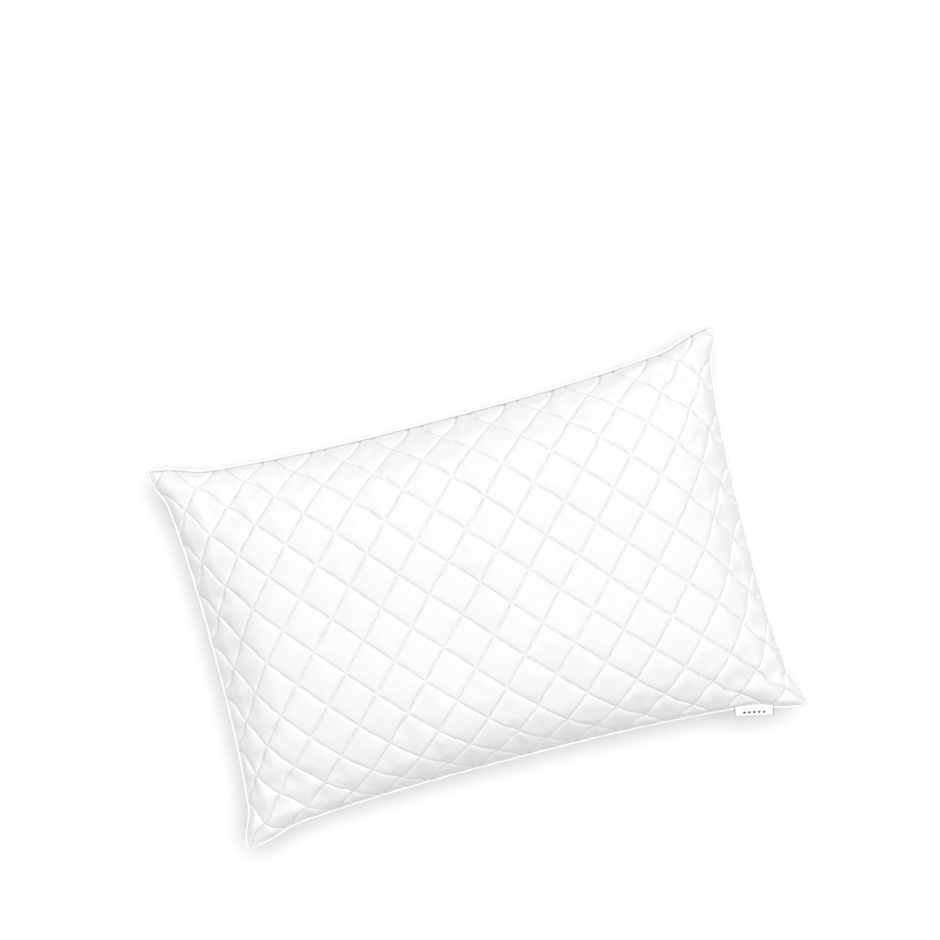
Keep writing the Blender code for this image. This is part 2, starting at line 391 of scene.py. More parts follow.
def cubic_weights(count, places):
    """Catmull-Rom weights of count points in a row, for places along it from 0 to count - 1."""
    weights = np.zeros((len(places), count + 2))
    for row, place in enumerate(places):
        cell = min(max(int(place), 0), count - 2)
        t = place - cell
        weights[row, cell:cell + 4] = (
            (-t + 2 * t ** 2 - t ** 3) / 2,
            (2 - 5 * t ** 2 + 3 * t ** 3) / 2,
            (t + 4 * t ** 2 - 3 * t ** 3) / 2,
            (t ** 3 - t ** 2) / 2,
        )
    # The two points past the ends carry the line straight on.
    weights[:, 1] += 2 * weights[:, 0]
    weights[:, 2] -= weights[:, 0]
    weights[:, -2] += 2 * weights[:, -1]
    weights[:, -3] -= weights[:, -1]
    return weights[:, 1:-1]


def refine(grid, p_lines, q_lines):
    """The simulated surface at the crossings of finer grid lines."""
    columns = cubic_weights(grid.shape[0], (p_lines / CUT_LENGTH + 0.5) * SIM_CELLS[0])
    rows = cubic_weights(grid.shape[1], (q_lines / CUT_WIDTH + 0.5) * SIM_CELLS[1])
    return np.einsum("ai,ijk,bj->abk", columns, grid, rows, optimize=True)


def normals(grid, side):
    """Unit directions out of the pillow at each point of a grid."""
    along = np.gradient(grid, axis=0)
    across = np.gradient(grid, axis=1)
    outward = np.cross(along, across) * side
    return outward / np.maximum(np.linalg.norm(outward, axis=-1, keepdims=True), 1e-9)


class Shape:
    """Both inflated panels at one fineness, as crest surfaces that the puffs touch.

    room is 0 where the panels meet and 1 where the layers have room for their full thickness;
    spare goes on from there, from 0 to 1 where the gap is twice as wide.
    """

    def __init__(self, inflated, steps):
        self.p_lines = grid_lines(CUT_LENGTH, CROSSING[0], HALF_DIAMOND[0] / steps)
        self.q_lines = grid_lines(CUT_WIDTH, CROSSING[1], HALF_DIAMOND[1] / steps)
        self.p, self.q = np.meshgrid(self.p_lines, self.q_lines, indexing="ij")
        grids = [refine(grid, self.p_lines, self.q_lines) for grid in inflated]
        self.points = {1: grids[0], -1: grids[1]}
        parting = SEAM_PARTING * np.exp(-from_seam(self.p, self.q) / PARTING_REACH)
        for side, grid in self.points.items():
            grid[..., 2] = np.maximum(grid[..., 2] + side * parting, 0)
        gap = np.linalg.norm(self.points[1] - self.points[-1], axis=-1)
        self.room = np.clip(gap / FULL_ROOM, 0, 1)
        self.spare = np.clip(gap / FULL_ROOM - 1, 0, 1)
        self.normals = {side: normals(grid, side) for side, grid in self.points.items()}

    def layer(self, side, depth):
        """The surface that lies so deep below the crests, less where the pillow is thin."""
        sunk = (depth * self.room)[..., None]
        grid = self.points[side] - self.normals[side] * sunk
        grid[..., 2] = np.maximum(grid[..., 2], 0)
        return grid


# ---- the quilting ------------------------------------------------------------------------

def line_numbers(p, q):
    """How many lines of each family lie between (p, q) and the middle crossing."""
    along = (p - CROSSING[0]) / (2 * HALF_DIAMOND[0])
    across = (q - CROSSING[1]) / (2 * HALF_DIAMOND[1])
    return along + across, along - across


def line_distances(p, q):
    """Distance on the cut to the nearest quilting line of each family."""
    return [abs(number - np.round(number)) * LINE_SPACING for number in line_numbers(p, q)]


def puff_share(p, q):
    """1 on top of a puff and 0 along the quilting lines."""
    share = 1.0
    for distance in line_distances(p, q):
        share = share * (1 - (1 - 2 * distance / LINE_SPACING) ** PUFF_ROUND)
    return share


def puff_height(p, q):
    """No two puffs hold quite the same wadding: a share that its diamond's numbers give."""
    first, second = [np.floor(number) for number in line_numbers(p, q)]
    odd = np.sin(12.9898 * first + 78.233 * second) * 43758.5453
    return PUFF_LEAST + PUFF_SPREAD * (odd - np.floor(odd))


def groove_depth(p, q):
    """How deep a stitch line would lie here, deeper near the seam."""
    return GROOVE_DEPTH * (1 + SEAM_PULL * np.exp(-from_seam(p, q) / SEAM_PULL_REACH))


def quilt_depth(p, q):
    """How far below the crests the face cloth lies."""
    full = PUFF_LEAST + PUFF_SPREAD
    puff = PUFF_DEPTH * (1 - puff_share(p, q) * puff_height(p, q) / full)
    distances = line_distances(p, q)
    nearest, further = np.minimum(*distances), np.maximum(*distances)
    groove = groove_depth(p, q) * np.exp(-(nearest / GROOVE_WIDTH) ** 2)
    return puff + groove * (1 - CROSSING_SHARE * np.exp(-(further / CROSSING_FADE) ** 2))


# ---- meshes ------------------------------------------------------------------------------

def make_piece(name, points, triangles, material, cut=None):
    """A smooth object from arrays; cut gives each point's (p, q) as its texture place."""
    points = np.asarray(points, np.float32).reshape(-1, 3)
    triangles = np.asarray(triangles, np.int32).reshape(-1, 3)
    mesh = bpy.data.meshes.new(name)
    mesh.vertices.add(len(points))
    mesh.vertices.foreach_set("co", points.ravel())
    mesh.loops.add(triangles.size)
    mesh.loops.foreach_set("vertex_index", triangles.ravel())
    mesh.polygons.add(len(triangles))
    mesh.polygons.foreach_set("loop_start", np.arange(0, triangles.size, 3, dtype=np.int32))
    mesh.update(calc_edges=True)
    mesh.validate()
    mesh.shade_smooth()
    if cut is not None:
        layer = mesh.uv_layers.new(name="Cut")
        places = np.asarray(cut, np.float32).reshape(-1, 2)
        layer.data.foreach_set("uv", places[triangles.ravel()].ravel())
    mesh.materials.append(material)
    piece = bpy.data.objects.new(name, mesh)
    bpy.context.collection.objects.link(piece)
    return piece


def split_quads(index, along_first):
    """Two triangles for each grid cell, cut along one diagonal or the other."""
    a, b, c, d = index[:-1, :-1], index[1:, :-1], index[1:, 1:], index[:-1, 1:]
    first = np.stack([a, b, c, a, c, d], -1)
    second = np.stack([a, b, d, b, c, d], -1)
    return np.where(along_first[..., None], first, second).reshape(-1, 3)


def quilted_triangles(index, p, q):
    """Triangles whose diagonals run along the nearest quilting line."""
    middle_p = (p[:-1, :-1] + p[1:, 1:]) / 2
    middle_q = (q[:-1, :-1] + q[1:, 1:]) / 2
    falling, rising = line_distances(middle_p, middle_q)
    return split_quads(index, rising < falling)


def border_loop(shape):
    """Grid places once round the border, counter-clockwise."""
    last_i, last_j = shape[0] - 1, shape[1] - 1
    loop = [(i, 0) for i in range(last_i)]
    loop += [(last_i, j) for j in range(last_j)]
    loop += [(i, last_j) for i in range(last_i, 0, -1)]
    loop += [(0, j) for j in range(last_j, 0, -1)]
    return np.array(loop)


def strip_triangles(first, second):
    """Triangles between two closed loops of vertex numbers."""
    next_first, next_second = np.roll(first, -1), np.roll(second, -1)
    one = np.stack([first, next_first, next_second], -1)
    two = np.stack([first, next_second, second], -1)
    return np.concatenate([one, two])


def shell_triangles(skin, index):
    """A skin's triangles, the same turned over behind it, and the rim between the two."""
    loop = index[tuple(border_loop(index.shape).T)]
    rim = strip_triangles(loop + index.size, loop)
    return np.concatenate([skin, skin[:, ::-1] + index.size, rim])


def closed_layer(name, outer, inner, p, q, side, material):
    """A closed piece between two grids of points, outer being the side that faces out."""
    index = np.arange(p.size).reshape(p.shape)
    triangles = shell_triangles(quilted_triangles(index, p, q), index)
    if side < 0:
        triangles = triangles[:, ::-1]
    points = np.concatenate([outer.reshape(-1, 3), inner.reshape(-1, 3)])
    places = np.stack([p, q], -1).reshape(-1, 2)
    return make_piece(name, points, triangles, material, np.concatenate([places, places]))


# ---- materials ---------------------------------------------------------------------------

class Nodes:
    """A short way to write a material's node tree."""

    def __init__(self, name, colour, roughness, sheen=0.0):
        self.material = bpy.data.materials.new(name)
        self.material.use_nodes = True
        self.tree = self.material.node_tree
        self.shader = self.tree.nodes["Principled BSDF"]
        self.shader.inputs["Base Color"].default_value = (*colour, 1.0)
        self.shader.inputs["Roughness"].default_value = roughness
        self.shader.inputs["Sheen Weight"].default_value = sheen
        self.shader.inputs["Sheen Roughness"].default_value = 0.45

    def add(self, kind, **values):
        node = self.tree.nodes.new(kind)
        for key, value in values.items():
            setattr(node, key, value)
        return node

    def link(self, source, target):
        self.tree.links.new(source, target)

    def feed(self, socket, value):
        if isinstance(value, bpy.types.NodeSocket):
            self.link(value, socket)
        else:
            socket.default_value = value

    def math(self, operation, *values):
        node = self.add("ShaderNodeMath", operation=operation)
        for socket, value in zip(node.inputs, values):
            self.feed(socket, value)
        return node.outputs[0]

    def place(self, source, scale):
        coordinates = self.add("ShaderNodeTexCoord")
        mapping = self.add("ShaderNodeMapping")
        self.link(coordinates.outputs[source], mapping.inputs["Vector"])
        mapping.inputs["Scale"].default_value = scale
        return mapping.outputs["Vector"]

    def noise(self, place, scale, detail=3.0):
        node = self.add("ShaderNodeTexNoise")
        self.link(place, node.inputs["Vector"])
        node.inputs["Scale"].default_value = scale
        node.inputs["Detail"].default_value = detail
        return node.outputs["Fac"]

    def waves(self, place, direction, scale):
        node = self.add("ShaderNodeTexWave", bands_direction=direction)
        self.link(place, node.inputs["Vector"])
        node.inputs["Scale"].default_value = scale
        return node.outputs["Fac"]

    def colours(self, factor, low, high, span=(0.0, 1.0)):
        ramp = self.add("ShaderNodeValToRGB")
        self.link(factor, ramp.inputs["Fac"])
        for element, place, colour in zip(ramp.color_ramp.elements, span, (low, high)):
            element.position = place
            element.color = (*colour, 1.0)
        self.link(ramp.outputs["Color"], self.shader.inputs["Base Color"])

    def bump(self, height, distance, strength=1.0, under=None):
        node = self.add("ShaderNodeBump")
        self.link(height, node.inputs["Height"])
        node.inputs["Distance"].default_value = distance
        node.inputs["Strength"].default_value = strength
        if under is not None:
            self.link(under, node.inputs["Normal"])
        return node.outputs["Normal"]

    def finish(self, normal):
        self.link(normal, self.shader.inputs["Normal"])
        return self.material


def wave_scale(period):
    """The scale at which a wave texture has this period."""
    return math.pi / (10 * period)


def weave_height(nodes, place):
    """Plain weave: the warp's and the weft's threads stand up where they cross over."""
    warp = nodes.waves(place, "X", wave_scale(WEAVE_PERIOD))
    weft = nodes.waves(place, "Y", wave_scale(WEAVE_PERIOD))
    return nodes.math("MAXIMUM", warp, weft)


def stitch_line_distances(nodes):
    """Distances on the cut to the nearest quilting line of each family, from the texture place."""
    coordinates = nodes.add("ShaderNodeTexCoord")
    split = nodes.add("ShaderNodeSeparateXYZ")
    nodes.link(coordinates.outputs["UV"], split.inputs[0])
    shares = []
    for axis in (0, 1):
        offset = nodes.math("SUBTRACT", split.outputs[axis], CROSSING[axis])
        shares.append(nodes.math("DIVIDE", offset, 2 * HALF_DIAMOND[axis]))
    distances = []
    for operation in ("ADD", "SUBTRACT"):
        number = nodes.math(operation, *shares)
        share = nodes.math("PINGPONG", number, 0.5)
        distances.append(nodes.math("MULTIPLY", share, LINE_SPACING))
    return distances


def cotton(name, colour=(0.905, 0.905, 0.903), quilted=False):
    """Brushed white microfibre: fine weave, slight rumples and a soft bloom."""
    nodes = Nodes(name, colour, 0.82, sheen=0.12)
    place = nodes.place("UV", (1, 1, 1))
    rumple = nodes.noise(place, 55.0, 4.0)
    tint = nodes.math("MULTIPLY_ADD", rumple, 0.4, 0.3)
    crease = nodes.bump(nodes.noise(place, 130.0, 2.0), 0.35 * MM, 0.5)
    if quilted:
        distances = stitch_line_distances(nodes)
        nearest = nodes.math("MINIMUM", *distances)
        further = nodes.math("MAXIMUM", *distances)
        pinched = nodes.math("SUBTRACT", 1.0, nodes.math("DIVIDE", nearest, PINCH_WIDTH))
        pinched = nodes.math("MAXIMUM", pinched, 0.0)
        apart = nodes.math("MINIMUM", nodes.math("DIVIDE", further, CROSSING_FADE), 1.0)
        pinched = nodes.math("MULTIPLY", pinched, apart)
        # Painted shade: the cloth's colour is darkened along the quilting lines, less at the
        # crossings, to stand for the shade in the pinched grooves.
        tint = nodes.math("SUBTRACT", tint, nodes.math("MULTIPLY", pinched, PINCH_PAINTED_SHADE))
        hollow = nodes.math("MULTIPLY", pinched, -1.0)
        crease = nodes.bump(hollow, PINCH_DEPTH, 1.0, crease)
    darker = tuple(channel - 0.10 for channel in colour)
    paler = tuple(min(1.0, channel + 0.06) for channel in colour)
    nodes.colours(tint, darker, paler)
    return nodes.finish(nodes.bump(weave_height(nodes, place), 0.05 * MM, 0.6, crease))


def thread(name):
    """Twisted polyester thread: fine oblique plies with a little gloss."""
    nodes = Nodes(name, (0.90, 0.90, 0.90), 0.5, sheen=0.1)
    place = nodes.place("Object", (1, 1, 1))
    plies = nodes.waves(place, "DIAGONAL", 700.0)
    nodes.colours(plies, (0.80, 0.80, 0.80), (0.93, 0.93, 0.93))
    return nodes.finish(nodes.bump(plies, 0.08 * MM, 0.7))


def wadding(name):
    """Bonded polyester: a mat of pale fibres."""
    nodes = Nodes(name, (0.93, 0.93, 0.93), 0.95, sheen=0.3)
    place = nodes.place("Object", (1, 1, 1))
    stretched = nodes.place("Object", (1, 4, 1))
    tangle = nodes.noise(stretched, 260.0, 6.0)
    nodes.colours(tangle, (0.86, 0.86, 0.855), (0.96, 0.96, 0.955), (0.3, 0.7))
    loft = nodes.bump(nodes.noise(place, 60.0, 3.0), 1.5 * MM, 0.6)
    return nodes.finish(nodes.bump(tangle, 0.5 * MM, 0.8, loft))


def cord(name):
    """Natural cotton cord in three twisted strands."""
    nodes = Nodes(name, (0.84, 0.82, 0.76), 0.9)
    place = nodes.place("Object", (1, 1, 1))
    fibres = nodes.noise(place, 1500.0, 4.0)
    nodes.colours(fibres, (0.76, 0.74, 0.68), (0.88, 0.86, 0.81), (0.3, 0.7))
    return nodes.finish(nodes.bump(fibres, 0.1 * MM, 0.6))


def ribbon(name, width, motif_run):
    """White satin ribbon with fine ribs across it, grey shade painted along its side edges and a row
    of woven lozenges.
    """
    nodes = Nodes(name, (0.93, 0.935, 0.94), 0.38, sheen=0.15)
    place = nodes.place("UV", (1, 1, 1))
    ribs = nodes.waves(place, "Y", wave_scale(RIB_PERIOD))
    split = nodes.add("ShaderNodeSeparateXYZ")
    nodes.link(place, split.inputs[0])
    from_middle = nodes.math("ABSOLUTE", split.outputs[0])
    # Painted shade: a grey band along each side edge of the ribbon, where the folded loop's edges
    # fall in shadow.
    shaded_sides = nodes.math("GREATER_THAN", from_middle, width / 2 - LABEL_EDGE_SHADE_WIDTH)
    step = nodes.math("PINGPONG", split.outputs[0], MOTIF_PITCH / 2)
    across = nodes.math("DIVIDE", step, MOTIF_HALF[0])
    run = nodes.math("ABSOLUTE", nodes.math("SUBTRACT", split.outputs[1], motif_run))
    reach = nodes.math("ADD", across, nodes.math("DIVIDE", run, MOTIF_HALF[1]))
    motif = nodes.math("LESS_THAN", reach, 1.0)
    counted = nodes.math("LESS_THAN", from_middle, MOTIF_COUNT * MOTIF_PITCH / 2)
    motif = nodes.math("MULTIPLY", motif, counted)
    # The painted edge shade at 0.6, and the woven lozenges at full strength.
    shade_and_lozenges = nodes.math("MAXIMUM", nodes.math("MULTIPLY", shaded_sides, 0.6), motif)
    tint = nodes.math("SUBTRACT", nodes.math("MULTIPLY_ADD", ribs, 0.06, 0.94), shade_and_lozenges)
    nodes.colours(tint, (0.07, 0.07, 0.075), (0.95, 0.955, 0.96))
    return nodes.finish(nodes.bump(ribs, 0.06 * MM, 0.5))


# ---- the panels --------------------------------------------------------------------------

def face_cloth(name, shape, side, material):
    """The quilted face with its seam allowance turned in behind the edge."""
    grid = shape.layer(side, quilt_depth(shape.p, shape.q))
    index = np.arange(shape.p.size).reshape(shape.p.shape)
    triangles = [quilted_triangles(index, shape.p, shape.q)]
    points = [grid.reshape(-1, 3)]
    places = [np.stack([shape.p, shape.q], -1).reshape(-1, 2)]
    loop = border_loop(index.shape)
    ring = index[tuple(loop.T)]
    edge = grid[tuple(loop.T)]
    inward = -seam_outward(edge)
    for row in range(1, ALLOWANCE_ROWS + 1):
        turned = edge + inward * ALLOWANCE * row / ALLOWANCE_ROWS
        turned[:, 2] -= side * ALLOWANCE_DROP
        following = index.size + (row - 1) * len(ring) + np.arange(len(ring))
        triangles.append(strip_triangles(following, ring))
        points.append(turned)
        places.append(places[0][index[tuple(loop.T)]])
        ring = following
    triangles = np.concatenate(triangles)
    if side < 0:
        triangles = triangles[:, ::-1]
    piece = make_piece(name, np.concatenate(points), triangles, material, np.concatenate(places))
    return piece, grid


def seam_outward(edge):
    """Level outward directions round a counter-clockwise closed line of points."""
    run = np.roll(edge, -1, axis=0) - np.roll(edge, 1, axis=0)
    outward = np.stack([run[:, 1], -run[:, 0], 0 * run[:, 0]], -1)
    return outward / np.linalg.norm(outward, axis=1, keepdims=True)


def sample(shape, grid, places):
    """A grid's values at places (p, q), each from its four neighbours."""
    i = np.interp(places[:, 0], shape.p_lines, np.arange(grid.shape[0]))
    j = np.interp(places[:, 1], shape.q_lines, np.arange(grid.shape[1]))
    low_i = np.clip(np.floor(i).astype(int), 0, grid.shape[0] - 2)
    low_j = np.clip(np.floor(j).astype(int), 0, grid.shape[1] - 2)
    s, t = (i - low_i)[:, None], (j - low_j)[:, None]
    near = grid[low_i, low_j] * (1 - s) + grid[low_i + 1, low_j] * s
    far = grid[low_i, low_j + 1] * (1 - s) + grid[low_i + 1, low_j + 1] * s
    return near * (1 - t) + far * t


def stitch_places():
    """(p, q) of every stitch's middle and its direction on the cut, for both families."""
    places, directions = [], []
    reach = int((CUT_LENGTH / HALF_DIAMOND[0] + CUT_WIDTH / HALF_DIAMOND[1]) / 4) + 1
    for slope in (1, -1):
        run = np.array([HALF_DIAMOND[0], slope * HALF_DIAMOND[1]])
        run /= np.linalg.norm(run)
        for number in range(-reach, reach + 1):
            start = np.array([CROSSING[0] + 2 * number * HALF_DIAMOND[0], CROSSING[1]])
            count = int(CUT_LENGTH / STITCH_PITCH)
            steps = (np.arange(-count, count) + 0.5) * STITCH_PITCH
            along = start + steps[:, None] * run
            inside = from_seam(along[:, 0], along[:, 1]) > STITCH_MARGIN
            places.append(along[inside])
            directions.append(np.broadcast_to(run, (int(inside.sum()), 2)))
    return np.concatenate(places), np.concatenate(directions)


def stitch_template(sides=THREAD_SIDES):
    """One stitch along X: a short arched bead whose ends dip into the cloth.

    Places along it are in stitch lengths, and sizes and lifts in thread radii.
    """
    rings = ((-0.36, 0.75, 0.05), (0.0, 1.0, 0.30), (0.36, 0.75, 0.05))
    points = [(-0.5, 0.0, -0.55)]
    for along, size, lift in rings:
        for k in range(sides):
            turn = 2 * math.pi * k / sides
            points.append((along, size * math.cos(turn), size * math.sin(turn) * 0.8 + lift))
    points.append((0.5, 0.0, -0.55))
    triangles = []
    for k in range(sides):
        m = (k + 1) % sides
        triangles.append((0, 1 + m, 1 + k))
        for ring in range(len(rings) - 1):
            low, high = 1 + ring * sides, 1 + (ring + 1) * sides
            triangles += [(low + k, low + m, high + m), (low + k, high + m, high + k)]
        last = 1 + (len(rings) - 1) * sides
        triangles.append((last + k, last + m, len(points) - 1))
    return np.array(points), np.array(triangles)


def quilting_stitches(name, shape, grid, side, material):
    """Every stitch of the quilting, lying in its groove."""
    places, directions = stitch_places()
    reach = directions * STITCH_PITCH / 2
    middle = sample(shape, grid, places)
    run = sample(shape, grid, places + reach) - sample(shape, grid, places - reach)
    run /= np.linalg.norm(run, axis=1, keepdims=True)
    up = sample(shape, normals(grid, side), places)
    across = np.cross(up, run)
    across /= np.linalg.norm(across, axis=1, keepdims=True)
    up = np.cross(run, across)
    template, faces = stitch_template()
    points = middle[:, None] + run[:, None] * template[:, 0, None] * STITCH_LENGTH
    points = points + across[:, None] * template[:, 1, None] * STITCH_RADIUS
    points = points + up[:, None] * template[:, 2, None] * STITCH_RADIUS
    points[..., 2] = np.maximum(points[..., 2], STITCH_LOWEST)
    triangles = faces[None] + (np.arange(len(places)) * len(template))[:, None, None]
    return make_piece(name, points, triangles, material)


def build_panel(prefix, side, face_shape, layer_shape, cloth, stitch, mat, backing):
    """Face cloth, stitches, wadding and backing cloth of one panel."""
    face, grid = face_cloth(prefix + "_face", face_shape, side, cloth)
    stitches = quilting_stitches(prefix + "_stitches", face_shape, grid, side, stitch)
    p, q = layer_shape.p, layer_shape.q
    inner = slice(LAYER_MARGIN, -LAYER_MARGIN)
    depth = quilt_depth(p, q)
    bulge = WADDING_BULGE * puff_share(p, q)
    levels = [depth + WADDING_TOP, PUFF_DEPTH + groove_depth(p, q) + WADDING_BACK + bulge]
    levels.append(levels[1] + BACKING_GAP)
    levels.append(levels[2] + BACKING_GAP)
    grids = [layer_shape.layer(side, level)[inner, inner] for level in levels]
    p, q = p[inner, inner], q[inner, inner]
    batt = closed_layer(prefix + "_batt", grids[0], grids[1], p, q, side, mat)
    back = closed_layer(prefix + "_backing", grids[2], grids[3], p, q, side, backing)
    pairs = [(face, "face_cloth"), (stitches, "quilting_thread")]
    pairs += [(batt, "wadding"), (back, "backing_cloth")]
    slots = ("face_cloth", "thread", "quilt_wadding", "backing_cloth")
    for (piece, node), slot in zip(pairs, slots):
        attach(piece, "pillow")
        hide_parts(f"{prefix}_{node}")


def fibre_hollows(p, q, side):
    """How far the fibre's surface sinks between its clumps, 0 on top of the highest."""
    clumps = np.sin(70 * p + 3 * side) * np.sin(83 * q + 1) + np.sin(131 * p - 97 * q)
    clumps += FINE_CLUMPS * np.sin(210 * p + 2 * side) * np.sin(190 * q)
    return clumps + (1 + 1 + FINE_CLUMPS)


def build_fill(shape, material):
    """The loose fibre: one soft lumpy body inside both panels."""
    inner = slice(FILL_MARGIN, -FILL_MARGIN)
    p, q = shape.p[inner, inner], shape.q[inner, inner]
    grids = []
    for side in (1, -1):
        spare = shape.spare[inner, inner]
        depth = FILL_DEPTH + FILL_LUMPS * fibre_hollows(p, q, side) * spare
        sunk = (depth * shape.room[inner, inner])[..., None]
        facing = shape.normals[side][inner, inner]
        grids.append(shape.points[side][inner, inner] - facing * sunk)
    fill = closed_layer("fibre", grids[0], grids[1], p, q, 1, material)
    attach(fill, "pillow")
    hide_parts("fibre_fill")


# ---- the edge ----------------------------------------------------------------------------

def seam_line(shape):
    """The seam between the panels, once round."""
    loop = tuple(border_loop(shape.p.shape).T)
    return (shape.points[1][loop] + shape.points[-1][loop]) / 2


def even_path(points, step):
    """The same closed line with points a step apart, as close as a whole number allows."""
    closed = np.concatenate([points, points[:1]])
    runs = np.linalg.norm(np.diff(closed, axis=0), axis=1)
    reached = np.concatenate([[0], np.cumsum(runs)])
    count = int(round(reached[-1] / step))
    stops = np.arange(count) * reached[-1] / count
    return np.stack([np.interp(stops, reached, closed[:, k]) for k in range(3)], -1)


def offset_path(seam, distance):
    """The seam moved outwards, and round its corners in an arc."""
    run = np.roll(seam, -1, axis=0) - seam
    outward = np.stack([run[:, 1], -run[:, 0], 0 * run[:, 0]], -1)
    outward /= np.linalg.norm(outward, axis=1, keepdims=True)
    points = []
    for k in range(len(seam)):
        before, after = outward[k - 1], outward[k]
        bend = math.acos(min(1.0, float(before @ after)))
        arcs = max(1, int(bend / CORNER_STEP))
        for step in range(arcs + 1):
            facing = before * (1 - step / arcs) + after * (step / arcs)
            points.append(seam[k] + facing / np.linalg.norm(facing) * distance)
    return np.array(points)


def smoothed(points, rounds):
    """A closed line with its points moved towards their neighbours."""
    for _ in range(rounds):
        points = points / 2 + (np.roll(points, 1, axis=0) + np.roll(points, -1, axis=0)) / 4
    return points


def tube(name, path, section, material, closed_section=True, turn=None, swell=None):
    """Sweep a section of (outwards, up) pairs round a closed path."""
    outward = seam_outward(path)
    rings, size = len(path), len(section)
    twist = np.zeros(rings) if turn is None else turn
    scale = np.ones(rings) if swell is None else swell
    points = np.empty((rings, size, 3))
    for k, (out, high) in enumerate(section):
        level = (out * np.cos(twist) - high * np.sin(twist)) * scale
        rise = (out * np.sin(twist) + high * np.cos(twist)) * scale
        points[:, k] = path + outward * level[:, None]
        points[:, k, 2] += rise
    index = np.arange(rings * size).reshape(rings, size)
    triangles = []
    last = size if closed_section else size - 1
    for k in range(last):
        triangles.append(strip_triangles(index[:, (k + 1) % size], index[:, k]))
    run = np.linalg.norm(np.roll(path, -1, axis=0) - path, axis=1)
    along = np.broadcast_to(np.concatenate([[0], np.cumsum(run[:-1])])[:, None], (rings, size))
    around = np.broadcast_to(np.arange(size) * AROUND_STEP, (rings, size))
    cut = np.stack([along, around], -1)
    return make_piece(name, points, np.concatenate(triangles), material, cut)


def ring_section(radius, sides):
    """A round section for a tube."""
    turns = [2 * math.pi * k / sides for k in range(sides)]
    return [(radius * math.cos(turn), radius * math.sin(turn)) for turn in turns]


def cover_section():
    """The strip's outline, from the edge of one leaf round the cord to the edge of the other."""
    turns = np.linspace(PIPING_OPENING, -PIPING_OPENING, PIPING_SIDES)
    arc = [(PIPING_RADIUS * math.cos(turn), PIPING_RADIUS * math.sin(turn)) for turn in turns]
    return list(PIPING_LEAF) + arc + [(out, -high) for out, high in reversed(PIPING_LEAF)]


def cord_section():
    """The cord's outline, with a lobe for each strand."""
    section = []
    for turn in np.linspace(0, 2 * math.pi, 4 * CORD_STRANDS, endpoint=False):
        radius = CORD_RADIUS * (1 - CORD_LOBE + CORD_LOBE * math.cos(CORD_STRANDS * turn))
        section.append((radius * math.cos(turn), radius * math.sin(turn)))
    return section


def seam_stitch_path(seam):
    """The seam's thread, up and down through the leaves once in each stitch."""
    path = even_path(offset_path(seam, -SEAM_STITCH_INSET), SEAM_STITCH_STEP)
    reached = np.arange(len(path)) * SEAM_STITCH_STEP
    path[:, 2] += SEAM_STITCH_WAVE * np.cos(2 * math.pi * reached / STITCH_PITCH)
    return path


def build_edge(shape, cloth, cord_material, stitch):
    """The piping and the seam's stitches. Gives the piping's middle line."""
    seam = smoothed(even_path(seam_line(shape), SEAM_STEP), 2)
    middle = smoothed(offset_path(seam, PIPING_RADIUS + PIPING_CLEARANCE), 3)
    middle = even_path(middle, PIPING_STEP)
    reached = np.arange(len(middle)) * PIPING_STEP
    gather = 1 + PIPING_GATHER * np.sin(2 * math.pi * reached / STITCH_PITCH)
    cover = tube("piping", middle, cover_section(), cloth, closed_section=False, swell=gather)
    core = tube("piping_core", middle, cord_section(), cord_material, turn=reached * CORD_TWIST)
    stitch_ring = ring_section(SEAM_STITCH_RADIUS, THREAD_SIDES)
    lock = tube("seam_stitches", seam_stitch_path(seam), stitch_ring, stitch)
    for piece, node, slot in ((cover, "piping_cover", "face_cloth"),
                              (core, "piping_cord", "piping_cord"),
                              (lock, "seam_thread", "thread")):
        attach(piece, "pillow")
        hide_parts(node)
    return middle


# ---- the label ---------------------------------------------------------------------------

def label_section():
    """The ribbon's middle line, (outwards, up) from the piping's middle and listed in mm: over
    the piping from the seam to the fold, and back just beneath."""
    over = [(-5.0, 0.55), (-3.4, 0.6), (-2.2, 0.7), (-1.7, 1.05), (-1.35, 1.5), (-0.75, 1.85)]
    over += [(0.0, 1.97), (0.75, 1.85), (1.45, 1.4), (2.2, 0.95), (3.4, 0.65), (5.0, 0.45)]
    over += [(7.0, 0.25), (8.8, 0.1), (10.0, 0.0)]
    fold = [(10.5, -0.2), (10.1, -0.42)]
    under = [(8.8, -0.34), (7.0, -0.2), (5.0, 0.02), (3.2, 0.22), (2.0, 0.5), (1.35, 0.95)]
    under += [(0.75, 1.38), (0.0, 1.54), (-0.75, 1.36), (-1.2, 1.0), (-1.5, 0.6), (-2.2, 0.42)]
    under += [(-3.4, 0.38), (-5.0, 0.35)]
    return [(out * MM, up * MM) for out, up in over + fold + under]


def label_roots(hinge, along, outward, piping, shares, width):
    """For each column, where the piping's middle lies, and where a straight label's root would."""
    bent = []
    for share in shares:
        base = hinge + along * share * width
        near = piping[np.argmin((piping[:, 0] - base.x) ** 2 + (piping[:, 1] - base.y) ** 2)]
        near = Vector(near.tolist())
        bent.append(((near - base).dot(outward), near.z - base.z))
    bent = np.array(bent)
    straight = np.stack([np.polyval(np.polyfit(shares, bent[:, k], 1), shares) for k in (0, 1)], -1)
    # Moved out by half of the most that the piping bulges past the straight line.
    straight[:, 0] += np.max(bent[:, 0] - straight[:, 0]) / 2
    return bent, straight


